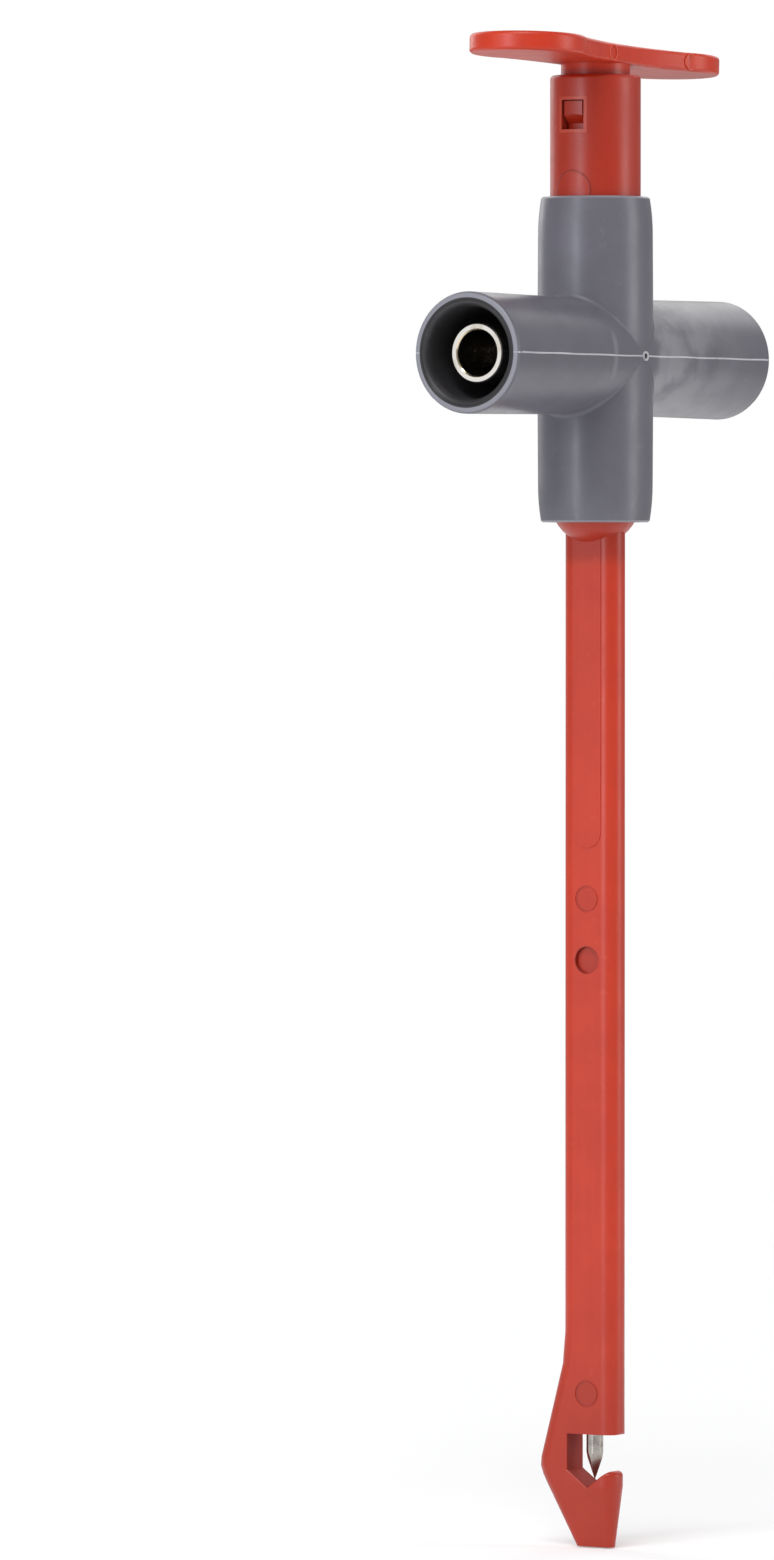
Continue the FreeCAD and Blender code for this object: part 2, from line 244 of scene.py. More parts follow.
def mouldedSurface():
    tree, given, result = newGroup(
        "mouldedSurface",
        [
            ("Colour", "Color", (0.5, 0.5, 0.5, 1)),
            ("Deep Colour", "Color", (0.4, 0.4, 0.4, 1)),
            ("Rubbed Colour", "Color", (0.6, 0.6, 0.6, 1)),
            ("Streak Stretch", "Vector", (1.0, 1.0, 0.06)),
            ("Cloud Scale", "Float", 260.0),
            ("Grain Scale", "Float", 5200.0),
            ("Grain Height", "Float", 0.004 * mm),
            ("Roughness", "Float", 0.45),
        ],
        [("Colour", "Color"), ("Roughness", "Float"), ("Normal", "Vector")],
    )
    place = addNode(tree, "ShaderNodeTexCoord").outputs["Object"]
    cloud = noiseNode(tree, place, given.outputs["Cloud Scale"], *moulding["cloudNoise"])
    cloudy = rampNode(tree, cloud, *moulding["cloudRange"], kind="LINEAR")
    streakPlace = stretchNode(tree, place, given.outputs["Streak Stretch"])
    streak = noiseNode(tree, streakPlace, *moulding["streakNoise"])
    streaky = rampNode(tree, streak, *moulding["streakRange"], moulding["streakShare"], "LINEAR")
    rubbed = noiseNode(tree, place, *moulding["rubbedNoise"])
    rubbed = rampNode(tree, rubbed, *moulding["rubbedRange"], moulding["rubbedShare"], "LINEAR")
    shade = mathNode(tree, "ADD", productNode(tree, cloudy, moulding["cloudShare"]), streaky, clamp=True)
    colour = mixColour(tree, shade, given.outputs["Colour"], given.outputs["Deep Colour"])
    colour = mixColour(tree, rubbed, colour, given.outputs["Rubbed Colour"])
    grain = noiseNode(tree, place, given.outputs["Grain Scale"], *moulding["grainNoise"])
    wave = noiseNode(tree, place, *moulding["waveNoise"])
    height = mathNode(tree, "ADD", productNode(tree, wave, moulding["waveShare"]), grain)
    bump = addNode(tree, "ShaderNodeBump", {"Height": height, "Distance": given.outputs["Grain Height"]})
    spread = productNode(tree, mathNode(tree, "SUBTRACT", cloud, noiseMiddle), moulding["roughSpread"])
    rough = mathNode(tree, "ADD", given.outputs["Roughness"], spread)
    rough = mathNode(tree, "SUBTRACT", rough, productNode(tree, rubbed, moulding["rubbedGloss"]), clamp=True)
    tree.links.new(colour, result.inputs["Colour"])
    tree.links.new(rough, result.inputs["Roughness"])
    tree.links.new(bump.outputs[0], result.inputs["Normal"])
    return tree


# Machined metal: fine rings at right angles to an axis, light tarnish in soft patches
machining = {
    "ringNoise": (9000.0, 2.0, 0.6),
    "patchNoise": (700.0, 4.0, 0.6),
    "patchRange": (0.5, 0.75),
    "patchShare": 0.7,
    "patchRoughness": 0.15,
}


def machinedSurface():
    tree, given, result = newGroup(
        "machinedSurface",
        [
            ("Colour", "Color", (0.7, 0.7, 0.7, 1)),
            ("Tarnish", "Color", (0.5, 0.45, 0.4, 1)),
            ("Ring Stretch", "Vector", (0.05, 1.0, 0.05)),
            ("Ring Height", "Float", 0.003 * mm),
            ("Roughness", "Float", 0.2),
        ],
        [("Colour", "Color"), ("Roughness", "Float"), ("Normal", "Vector")],
    )
    place = addNode(tree, "ShaderNodeTexCoord").outputs["Object"]
    rings = noiseNode(tree, stretchNode(tree, place, given.outputs["Ring Stretch"]), *machining["ringNoise"])
    patches = noiseNode(tree, place, *machining["patchNoise"])
    tarnished = rampNode(tree, patches, *machining["patchRange"], machining["patchShare"], "LINEAR")
    colour = mixColour(tree, tarnished, given.outputs["Colour"], given.outputs["Tarnish"])
    bump = addNode(tree, "ShaderNodeBump", {"Height": rings, "Distance": given.outputs["Ring Height"]})
    duller = productNode(tree, tarnished, machining["patchRoughness"])
    rough = mathNode(tree, "ADD", given.outputs["Roughness"], duller)
    tree.links.new(colour, result.inputs["Colour"])
    tree.links.new(rough, result.inputs["Roughness"])
    tree.links.new(bump.outputs[0], result.inputs["Normal"])
    return tree


def finishFrom(name, group, values, metallic=0.0, trim=None):
    # one material: the shared group with its own values, feeding a Principled shader. A trim
    # function recolours parts of the surface by their place
    material = bpy.data.materials.new(name)
    material.use_nodes = True
    tree = material.node_tree
    principled = tree.nodes["Principled BSDF"]
    principled.inputs["Metallic"].default_value = metallic
    effect = addNode(tree, "ShaderNodeGroup", node_tree=group)
    for label, value in values.items():
        effect.inputs[label].default_value = value
    colour, rough = effect.outputs["Colour"], effect.outputs["Roughness"]
    if trim:
        colour, rough = trim(tree, colour, rough)
    tree.links.new(colour, principled.inputs["Base Color"])
    tree.links.new(rough, principled.inputs["Roughness"])
    tree.links.new(effect.outputs["Normal"], principled.inputs["Normal"])
    return material


def surfacePlace(tree):
    # the surface point, its x, y and z, and its distance from the socket axis
    place = addNode(tree, "ShaderNodeTexCoord").outputs["Object"]
    x, y, z = addNode(tree, "ShaderNodeSeparateXYZ", {0: place}).outputs
    fromAxis = lengthNode(tree, stretchNode(tree, place, (1.0, 0.0, 1.0)))
    return {"point": place, "x": x, "y": y, "z": z, "fromAxis": fromAxis}


# Housing colours and painted light by place. Two values of a ramp are where it starts and where it is full
housingTrim = {
    # pale flow haze, which is also painted sheen that lightens the far arm
    "hazeAndSheenColour": (140, 140, 146),
    "hazeStretch": (1.0, 0.7, 0.6),
    "hazeNoise": (420.0, 4.0, 0.5),
    "hazeRange": (0.3, 0.62),
    "hazeFrom": (1.6 * mm, 2.8 * mm),
    "hazeTo": (20.0 * mm, 3.2 * mm),
    "hazeHeight": (8.0 * mm, 5.0 * mm),
    "arcColour": (136, 135, 142),
    "arcPlace": -4.9 * mm,
    "arcWidth": (0.55 * mm, 0.1 * mm),
    "arcReach": (2.6 * mm, 1.0 * mm),
    "arcShare": 0.6,
    "lineColour": (190, 190, 196),
    "lineHalfWidth": (0.085 * mm, 0.045 * mm),
    "lineReach": 4.7 * mm,
    "lineNoise": (500.0,),
    "lineWander": 0.06 * mm,
    "spotNoise": (2600.0, 2.0),
    "spotRange": (0.3, 0.55),
    # black on the housing in each arm's mouth: partly the liner's lip, partly painted shade in the bore's
    # recess
    "lipAndShadeColour": (34, 32, 35),
    "lipAndShadeRadius": 4.78 * mm,
    "lipAndShadeStart": 20.6 * mm,
    # painted highlight on the arms' mouth faces and the column's top and bottom rims
    "edgeColour": (152, 152, 160),
    "rimHighlightShare": 0.6,
    "mouthEdge": (21.4 * mm, 21.46 * mm),
    "topEdge": (13.8 * mm, 13.95 * mm),
    "bottomEdge": (-14.38 * mm, -14.5 * mm),
}


def trimHousing(tree, colour, rough):
    # pale flow haze at the root of the far arm, with painted sheen that lightens that arm, a faint arc
    # across the root of the near one, the pale parting line, painted highlights on the rims, and a black
    # ring in each arm's mouth that is partly the socket liner's lip, which lies flush in each arm's rim,
    # and partly painted shade
    trim = housingTrim
    at = surfacePlace(tree)
    offMiddle = offsetNode(tree, at["z"])
    reach = offsetNode(tree, at["y"])
    # pale flow haze, also painted sheen that makes the far arm lighter than the near one
    cloud = noiseNode(tree, stretchNode(tree, at["point"], trim["hazeStretch"]), *trim["hazeNoise"])
    hazeAndSheen = productNode(
        tree,
        rampNode(tree, cloud, *trim["hazeRange"]),
        rampNode(tree, at["y"], *trim["hazeFrom"]),
        rampNode(tree, at["y"], *trim["hazeTo"]),
        rampNode(tree, offMiddle, *trim["hazeHeight"]),
    )
    colour = tintNode(tree, colour, hazeAndSheen, trim["hazeAndSheenColour"])
    arc = rampNode(tree, offsetNode(tree, at["y"], trim["arcPlace"]), *trim["arcWidth"], trim["arcShare"])
    arc = productNode(tree, arc, rampNode(tree, offMiddle, *trim["arcReach"]))
    colour = tintNode(tree, colour, arc, trim["arcColour"])
    wander = mathNode(tree, "SUBTRACT", noiseMiddle, noiseNode(tree, at["point"], *trim["lineNoise"]))
    wander = productNode(tree, wander, trim["lineWander"])
    line = productNode(
        tree,
        rampNode(tree, offsetNode(tree, at["z"], wander), *trim["lineHalfWidth"]),
        rampNode(tree, noiseNode(tree, at["point"], *trim["spotNoise"]), *trim["spotRange"]),
        mathNode(tree, "GREATER_THAN", offsetNode(tree, at["x"]), trim["lineReach"]),
    )
    colour = tintNode(tree, colour, line, trim["lineColour"])
    # painted highlights: the mouth faces and the column's top and bottom rims are made paler as if they
    # catch the light
    rimHighlights = rampNode(tree, reach, *trim["mouthEdge"], trim["rimHighlightShare"])
    for name in ("topEdge", "bottomEdge"):
        rimHighlights = mathNode(tree, "ADD", rimHighlights, rampNode(tree, at["z"], *trim[name], trim["rimHighlightShare"]))
    colour = tintNode(tree, colour, rimHighlights, trim["edgeColour"])
    # black on the housing in each arm's mouth: partly the liner's lip, partly painted shade in the bore's
    # recess
    lipAndShade = mathNode(tree, "GREATER_THAN", reach, trim["lipAndShadeStart"])
    lipAndShade = productNode(tree, lipAndShade, mathNode(tree, "LESS_THAN", at["fromAxis"], trim["lipAndShadeRadius"]))
    return tintNode(tree, colour, lipAndShade, trim["lipAndShadeColour"]), rough


tubeTrim = {
    # painted shade inside the bore
    "boreShadeColour": (150, 145, 138),
    "boreRadius": 2.03 * mm,
    "edgeColour": (224, 202, 160),
    "edgeRadius": 2.1 * mm,
}


def trimTube(tree, colour, rough):
    # warm worn edge round the mouth of the bore, and painted shade that darkens the bore itself
    fromAxis = surfacePlace(tree)["fromAxis"]
    edge = mathNode(tree, "LESS_THAN", fromAxis, tubeTrim["edgeRadius"])
    colour = tintNode(tree, colour, edge, tubeTrim["edgeColour"])
    # painted shade inside the bore
    boreShade = mathNode(tree, "LESS_THAN", fromAxis, tubeTrim["boreRadius"])
    return tintNode(tree, colour, boreShade, tubeTrim["boreShadeColour"]), rough


# Plunger colours, painted shade and painted highlight by place. A disc is its height on the shaft, its
# radius and its share of the deep red that paints its shade
shaftTrim = {
    # deep red: painted shade on the barrel, the stem and the recesses, and a deeper tone towards the hook's
    # end
    "deepRedAndShade": (148, 34, 14),
    "deepAndShadeShare": 0.5,
    "barrelFrom": (-18.6 * mm, -17.4 * mm),
    "hookFrom": (-80.0 * mm, -97.0 * mm),
    # painted shade on the handle's stem, snap tab and neck
    "neckFrom": (24.9 * mm, 25.6 * mm),
    "neckShadeShare": 0.75,
    "markColour": (112, 30, 20),
    "markMiddle": 14.6 * mm,
    "markRadius": 1.68 * mm,
    "markLine": (0.11 * mm, 0.05 * mm),
    "markShare": 0.55,
    "discs": (
        (-47.8 * mm, 1.06 * mm, 0.26),
        (-53.2 * mm, 1.22 * mm, 0.5),
        (-91.5 * mm, 1.06 * mm, 0.4),
    ),
    "discRim": (0.13 * mm, 0.05 * mm),
    "discRimShare": 0.45,
    "discShade": (0.5 * mm, -0.9 * mm),
    "frameMiddle": 21.2 * mm,
    "frameHalf": (1.42 * mm, 1.6 * mm),
    # painted highlight on the window's walls and edges
    "windowHighlightColour": (214, 98, 74),
    "windowHighlightShare": 0.35,
    "jawSides": (-2.12 * mm, 1.5 * mm),
    "jawEnds": (-99.9 * mm, -95.0 * mm),
    "jawHalfWidth": 1.34 * mm,
    # painted shade on the jaw's walls
    "jawShadeColour": (142, 24, 4),
    "jawShadeShare": 0.8,
    "jawRoughness": 0.4,
}


def trimShaft(tree, colour, rough):
    # painted shade darkens the barrel to a deeper red than the thin shaft, as if in the shadow of the
    # handle and the column, and darkens the floor of the blind hole and the discs in the ejector marks,
    # whose rims are darker on the left. The hook is a deeper red towards its end. A dark line runs round
    # the barrel's ring marks, painted highlight makes the walls and edges of its window paler, and the
    # jaw's own walls are rougher and darkened by painted shade
    trim = shaftTrim
    at = surfacePlace(tree)
    # painted shade: the barrel is darkened as if in the shadow of the handle and the column; the hook is a
    # deeper red towards its end
    barrelShade = rampNode(tree, at["z"], *trim["barrelFrom"], trim["deepAndShadeShare"])
    hook = rampNode(tree, at["z"], *trim["hookFrom"], trim["deepAndShadeShare"])
    colour = tintNode(tree, colour, mathNode(tree, "ADD", barrelShade, hook), trim["deepRedAndShade"])
    fromMiddle = distanceNode(tree, at["x"], mathNode(tree, "SUBTRACT", at["z"], trim["markMiddle"]))
    offRing = offsetNode(tree, fromMiddle, trim["markRadius"])
    mark = rampNode(tree, offRing, *trim["markLine"], trim["markShare"])
    colour = tintNode(tree, colour, mark, trim["markColour"])
    # painted shade: the floors of the blind hole and the ejector marks are darkened, and their rims darker
    # on the left
    inFront = mathNode(tree, "LESS_THAN", at["y"], 0.0)
    shaded = productNode(tree, rampNode(tree, at["x"], *trim["discShade"]), inFront)
    for middle, radius, share in trim["discs"]:
        fromMiddle = distanceNode(tree, at["x"], mathNode(tree, "SUBTRACT", at["z"], middle))
        recessShade = productNode(tree, mathNode(tree, "LESS_THAN", fromMiddle, radius), inFront, share)
        colour = tintNode(tree, colour, recessShade, trim["deepRedAndShade"])
        rim = rampNode(tree, offsetNode(tree, fromMiddle, radius), *trim["discRim"], trim["discRimShare"])
        colour = tintNode(tree, colour, productNode(tree, rim, shaded), trim["markColour"])
    # painted highlight: the window's walls and edges are made paler as if lit
    wide = mathNode(tree, "LESS_THAN", offsetNode(tree, at["x"]), trim["frameHalf"][0])
    tall = mathNode(tree, "LESS_THAN", offsetNode(tree, at["z"], trim["frameMiddle"]), trim["frameHalf"][1])
    windowHighlight = productNode(tree, wide, tall, trim["windowHighlightShare"])
    colour = tintNode(tree, colour, windowHighlight, trim["windowHighlightColour"])
    # painted shade: the jaw's walls are darkened as if out of the light; they are also rougher
    jaw = productNode(
        tree,
        mathNode(tree, "LESS_THAN", offsetNode(tree, at["y"]), trim["jawHalfWidth"]),
        mathNode(tree, "GREATER_THAN", at["x"], trim["jawSides"][0]),
        mathNode(tree, "LESS_THAN", at["x"], trim["jawSides"][1]),
        mathNode(tree, "GREATER_THAN", at["z"], trim["jawEnds"][0]),
        mathNode(tree, "LESS_THAN", at["z"], trim["jawEnds"][1]),
        trim["jawShadeShare"],
    )
    colour = tintNode(tree, colour, jaw, trim["jawShadeColour"])
    return colour, mathNode(tree, "ADD", rough, productNode(tree, jaw, trim["jawRoughness"]), clamp=True)


def stemShade(tree, colour, rough):
    # painted shade: the handle's stem and snap tab, which sit in the barrel, and the neck under the handle's
    # plate share its deeper red
    above = rampNode(tree, surfacePlace(tree)["z"], *shaftTrim["neckFrom"])
    share = productNode(tree, mathNode(tree, "SUBTRACT", 1.0, above), shaftTrim["neckShadeShare"])
    return tintNode(tree, colour, share, shaftTrim["deepRedAndShade"]), rough


# Each plastic's main, deep and rubbed colour, and its roughness
plasticLook = {
    "grey": ((106, 105, 114), (99, 98, 107), (128, 128, 136), 0.4),
    "housing": ((106, 105, 114), (99, 98, 107), (128, 128, 136), 0.35),
    "flash": ((205, 205, 210), (176, 176, 182), (222, 222, 226), 0.45),
    "red": ((206, 55, 23), (194, 47, 18), (218, 82, 48), 0.38),
    "shaft": ((199, 54, 24), (187, 46, 19), (212, 80, 50), 0.38),
    "redEdge": ((222, 92, 66), (212, 76, 52), (230, 112, 88), 0.36),
    "black": ((50, 48, 51), (42, 40, 43), (64, 62, 65), 0.5),
    "scorch": ((20, 18, 20), (14, 12, 14), (30, 28, 30), 0.6),
}
plasticTrim = {"housing": trimHousing, "shaft": trimShaft, "red": stemShade}
evenStreaks = (0.4, 0.4, 0.4)  # the grey plastics have clouds in place of long streaks

moulded = mouldedSurface()
plastic = {}
for label, (main, deep, rubbed, roughness) in plasticLook.items():
    values = {
        "Colour": srgb(*main),
        "Deep Colour": srgb(*deep),
        "Rubbed Colour": srgb(*rubbed),
        "Roughness": roughness,
    }
    if label in ("grey", "housing", "flash"):
        values["Streak Stretch"] = evenStreaks
    plastic[label] = finishFrom(label + "Plastic", moulded, values, trim=plasticTrim.get(label))

# Each metal's main colour and tarnish, the stretch and height of its rings, and its roughness
metalLook = {
    "nickel": ((224, 219, 210), (186, 174, 152), (0.05, 1.0, 0.05), 0.0008 * mm, 0.2),
    "steel": ((164, 158, 152), (66, 56, 50), (1.0, 1.0, 0.06), 0.004 * mm, 0.24),
    "brass": ((214, 178, 104), (168, 132, 72), (0.05, 0.05, 1.0), 0.002 * mm, 0.25),
    "spring": ((176, 176, 180), (120, 116, 112), (1.0, 1.0, 1.0), 0.002 * mm, 0.28),
}
metalTrim = {"nickel": trimTube}

machined = machinedSurface()
metal = {}
for label, (main, tarnish, stretch, ringHeight, roughness) in metalLook.items():
    values = {
        "Colour": srgb(*main),
        "Tarnish": srgb(*tarnish),
        "Ring Stretch": stretch,
        "Ring Height": ringHeight,
        "Roughness": roughness,
    }
    metal[label] = finishFrom(label + "Metal", machined, values, metallic=1.0, trim=metalTrim.get(label))

nodeFinish = {
    "cross_housing": plastic["housing"],
    "front_socket_liner": plastic["black"],
    "rear_socket_liner": plastic["black"],
    "front_socket_tube": metal["nickel"],
    "rear_socket_tube": metal["nickel"],
    "contact_block": metal["brass"],
    "piercing_needle": metal["steel"],
    "hook_shaft": plastic["shaft"],
    "wing_handle": plastic["red"],
    "return_spring": metal["spring"],
}
for name, material in nodeFinish.items():
    nodes[name].data.materials.clear()
    nodes[name].data.materials.append(material)
print("materials done,", len(nodeFinish), "nodes dressed")


# Return spring, a round wire on a helix with its end turns closed up
spring = {
    "wire": 0.5 * mm,
    "turns": 7.0,
    "endTurns": (0.7, 1.2),  # where the pitch of an end starts to open, and where it is full
    "endPitch": 0.28,
    "sides": 16,
    "perTurn": 48,
    "keep": 0.64,  # share of its length that is left at full stroke
}


def springCoil():
    # centreline: radius r, angle 2 pi n t, height rising slowly in the end turns and evenly between.
    # Round it a circle of the wire's radius: c + w (cos b out + sin b side)
    low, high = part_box("return_spring")
    wire = spring["wire"] / 2
    radius = (high.x - low.x) / 2 - wire
    turns = spring["turns"]
    turn = np.linspace(0, turns, int(turns * spring["perTurn"]) + 1)
    start, full = spring["endTurns"]
    pitch = spring["endPitch"]
    stops = [0, start, full, turns - full, turns - start, turns]
    pitchShare = np.interp(turn, stops, [pitch, pitch, 1, 1, pitch, pitch])
    rise = np.concatenate([[0], np.cumsum((pitchShare[1:] + pitchShare[:-1]) / 2)])
    height = low.z + wire + rise / rise[-1] * (high.z - low.z - 2 * wire)
    angle = 2 * math.pi * turn
    out = np.stack([np.cos(angle), np.sin(angle), np.zeros_like(angle)], -1)
    line = out * radius
    line[:, 2] = height
    along = np.gradient(line, axis=0)
    along /= np.linalg.norm(along, axis=1, keepdims=True)
    side = np.cross(along, out)
    b = roundAngles(spring["sides"])[None, :, None]
    rings = line[:, None] + wire * (np.cos(b) * out[:, None] + np.sin(b) * side[:, None])
    return closedTube(rings)


springPiece = makePiece("returnSpring", [springCoil()], "housing", metal["spring"])
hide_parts("return_spring")
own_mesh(springPiece)
print("spring done")


# Socket liners with a soft lip that fills the rim's chamfer
liner = {
    "profile": (  # radius and reach along the arm, in mm
        (2.62, 5.72), (4.43, 5.72), (4.43, 21.33), (4.55, 21.46), (4.5, 21.49), (4.42, 21.46),
        (4.28, 21.36), (4.16, 21.18), (4.08, 20.9), (4.03, 20.4), (4.03, 6.52), (2.62, 6.52),
    ),
    "sides": 96,
}


def linerCup(side):
    # the profile turned about the socket axis: (r cos a, side y, r sin a)
    profile = np.array(liner["profile"]) * mm
    a = roundAngles(liner["sides"])
    r = profile[:, :1]
    y = np.repeat(side * profile[:, 1:], len(a), axis=1)
    return closedTube(np.stack([r * np.cos(a), y, r * np.sin(a)], -1), wrapRows=True)


for name, side in (("front", -1), ("rear", 1)):
    cup = makePiece(name + "LinerCup", [linerCup(side)], "housing", plastic["black"])
    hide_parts(name + "_socket_liner")
print("liners done")


# Sizes of the cross that its details sit on
cross = {
    "columnRadius": 5.125 * mm,
    "armRootRadius": 5.1 * mm,
    "armEndRadius": 5.3 * mm,
    "armReach": 21.5 * mm,
}

# Fillets in the corners where the arms meet the column
fillet = {
    "radius": 0.5 * mm,
    "fadeAngle": 9.0,  # degrees left out at each end of a seam
    "steps": (121, 9),  # along the seam and across it
    "sink": 0.985,  # the strip is closed just behind the corner
}


def crossingFillet(armSide, topSide):
    # a ball of radius f rolls in the corner of two crossed cylinders of radii R (column) and A (arm).
    # Its centre is at height (A+f) sin t, x = (A+f) cos t and y = sqrt((R+f)^2 - x^2); it touches
    # the column at (x, y) R/(R+f) and the arm at (x, z) A/(A+f), and the strip is the arc between
    big, small, f = cross["columnRadius"], cross["armRootRadius"], fillet["radius"]
    along, across = fillet["steps"]
    fade = math.radians(fillet["fadeAngle"])
    t = np.linspace(fade, math.pi - fade, along)
    x = (small + f) * np.cos(t)
    z = (small + f) * np.sin(t)
    y = np.sqrt((big + f) ** 2 - x**2)
    centre = np.stack([x, y, z], -1)
    onColumn = np.stack([x * big / (big + f), y * big / (big + f), z], -1)
    onArm = np.stack([x * small / (small + f), y, z * small / (small + f)], -1)
    share = np.linspace(0, 1, across)[None, :, None]
    chord = onColumn[:, None] * (1 - share) + onArm[:, None] * share
    spoke = chord - centre[:, None]
    arc = centre[:, None] + spoke / np.linalg.norm(spoke, axis=2, keepdims=True) * f
    inside = (onColumn + onArm - centre) * fillet["sink"]
    rings = np.concatenate([arc, inside[:, None]], axis=1)
    return closedTube(rings * np.array([1, armSide, topSide]))


fillets = [crossingFillet(armSide, topSide) for armSide in (1, -1) for topSide in (1, -1)]
makePiece("crossingFillets", fillets, "housing", plastic["grey"])


# Parting line, a fine bead of flash along both sides of the arms and the column
parting = {
    "width": 0.14 * mm,
    "height": 0.045 * mm,
    "low": 0.002 * mm,
    "end": 20.9 * mm,
    "limit": 5.295 * mm,  # its top stays within the width of the arms
    "steps": 401,
    "swing": 0.25,  # share of the height that comes and goes
    "waves": (1.7, 0.63),  # radians per mm
    "wander": 0.02 * mm,
    "wanderWave": 0.9,
}


def partingRidge(side):
    # a bead along the widest outline of the cross at z = 0, where x(y) is the larger of the
    # column's circle and the arm's slowly widening side. Its height is h (1 - s + s sin sin), and
    # its place wanders as w sin
    y = np.linspace(-parting["end"], parting["end"], parting["steps"])
    widening = (cross["armEndRadius"] - cross["armRootRadius"]) / cross["armReach"]
    armX = cross["armRootRadius"] + widening * np.abs(y)
    columnX = np.sqrt(np.clip(cross["columnRadius"] ** 2 - y**2, 0, None))
    x = np.maximum(armX, columnX)
    swing = parting["swing"]
    quick, slow = parting["waves"]
    uneven = 1 - swing + swing * np.sin(y / mm * quick + side) * np.sin(y / mm * slow)
    height = np.clip(parting["limit"] - x, parting["low"], parting["height"] * uneven)
    wander = parting["wander"] * np.sin(y / mm * parting["wanderWave"] + 2 * side)
    outward = np.repeat([[side, 0.0, 0.0]], len(y), axis=0)
    return ridge(np.stack([side * x, y, wander], -1), outward, parting["width"], height)


makePiece("partingRidge", [partingRidge(1), partingRidge(-1)], "housing", plastic["flash"])


# Gate mark on the column, where the moulding was broken off its runner, with a dark dot in it
gate = {
    "radius": 0.46 * mm,
    "height": 0.115 * mm,
    "rim": (0.8, 0.2),  # where it stands and how wide it is, as shares of the radius
    "dimple": 0.4,
    "foot": -1.2,  # in heights, behind the wall's face
    "core": 0.02,  # share of the radius where the fan closes it
    "steps": (15, 32),  # from rim to middle and round it
    "dotRadius": 0.28 * mm,
    "dotRise": (0.35, 0.55),
    "dotFoot": -1.0,
    "dotCore": 0.03,
    "dotSteps": (8, 24),
}


def turnedOnColumn(rise, radius, sides):
    # a profile turned about the X axis on the column's side: (R + h rise, r cos a, r sin a)
    a = roundAngles(sides)
    x = np.repeat((cross["columnRadius"] + gate["height"] * rise)[:, None], sides, axis=1)
    return closedTube(np.stack([x, radius[:, None] * np.cos(a), radius[:, None] * np.sin(a)], -1))


def gateMark():
    # a raised rim less a dimple of depth d: exp(-((r-m)/w)^2) - d exp(-(r/d)^2) + d, with r
    # running from rim to middle
    steps, sides = gate["steps"]
    rim, width = gate["rim"]
    dimple = gate["dimple"]
    r = np.linspace(1, gate["core"], steps)
    rise = np.exp(-(((r - rim) / width) ** 2)) - dimple * np.exp(-((r / dimple) ** 2)) + dimple
    rise[0] = gate["foot"]
    return turnedOnColumn(rise, gate["radius"] * r, sides)


def gateDot():
    # a small dome c + h (1 - r^2), closed behind
    steps, sides = gate["dotSteps"]
    start, dome = gate["dotRise"]
    r = np.linspace(1, gate["dotCore"], steps)
    rise = start + dome * (1 - r**2)
    rise[0] = gate["dotFoot"]
    return turnedOnColumn(rise, gate["dotRadius"] * r, sides)


makePiece("gateMark", [gateMark()], "housing", plastic["flash"])
makePiece("gateDot", [gateDot()], "housing", plastic["scorch"])
print("housing details done")


# Ejector marks on the handle's edge
edgeMarks = {
    "radius": 0.66 * mm,
    "places": (  # x and y of the middle, and which way the edge faces there in degrees
        (3.33 * mm, -2.4 * mm, 3.0),
        (4.5 * mm, 8.95 * mm, -8.0),
    ),
    "plateMiddle": 26.55 * mm,
    "plateLean": 2.2,
    "width": 0.13 * mm,
    "height": 0.05 * mm,
    "steps": 48,
}


def edgeMark(x, y, turn):
    # a ring on the handle's edge face: a circle of radius r in the face's own directions
    turn = math.radians(turn)
    slope = math.sin(math.radians(edgeMarks["plateLean"]))
    out = np.array([math.cos(turn), math.sin(turn), 0.0])
    across = np.array([-math.sin(turn), math.cos(turn), -slope])
    middle = np.array([x, y, edgeMarks["plateMiddle"] - y * slope])
    angle = roundAngles(edgeMarks["steps"])[:, None]
    circle = np.cos(angle) * across + np.sin(angle) * np.array([0, 0, 1.0])
    line = middle + edgeMarks["radius"] * circle
    outward = np.repeat(out[None], len(angle), axis=0)
    return ridge(line, outward, edgeMarks["width"], edgeMarks["height"], closed=True)


edgeRings = [edgeMark(*place) for place in edgeMarks["places"]]
makePiece("handleEdgeMarks", edgeRings, "plunger", plastic["redEdge"])


# Ring mark on each side of the barrel
barrelMarks = {
    "barrelRadius": 4.0 * mm,
    "radius": shaftTrim["markRadius"],
    "middle": shaftTrim["markMiddle"],
    "proud": 0.02 * mm,
    "width": 0.2 * mm,
    "steps": 64,
}


def barrelMark(side):
    # a ring laid on the barrel: the point at (s, z) = r (cos a, sin a) is wrapped round it at the
    # angle s / R
    a = roundAngles(barrelMarks["steps"])
    wrap = barrelMarks["radius"] * np.cos(a) / barrelMarks["barrelRadius"]
    outward = np.stack([np.sin(wrap), side * np.cos(wrap), np.zeros_like(a)], -1)
    line = outward * barrelMarks["barrelRadius"]
    line[:, 2] = barrelMarks["middle"] + barrelMarks["radius"] * np.sin(a)
    return ridge(line, outward, barrelMarks["width"], barrelMarks["proud"], closed=True)


makePiece("barrelMarks", [barrelMark(-1), barrelMark(1)], "plunger", plastic["shaft"])
print("plunger details done")


# Camera, at the photograph's angle and scale
view = {
    "azimuth": 32.4,
    "distance": 900 * mm,
    "frameHeight": 137.7 * mm,
    "frameWidthPx": 774,
    "frameHeightPx": 1560,
    "axisPx": 595.2,  # across the picture, where the long axis stands
    "originPx": 357.0,  # down the picture, where the socket axis lies
    "eyeLevelPx": 561.0,
    "sensorWidth": 36,
    "clip": (0.01, 20),
}


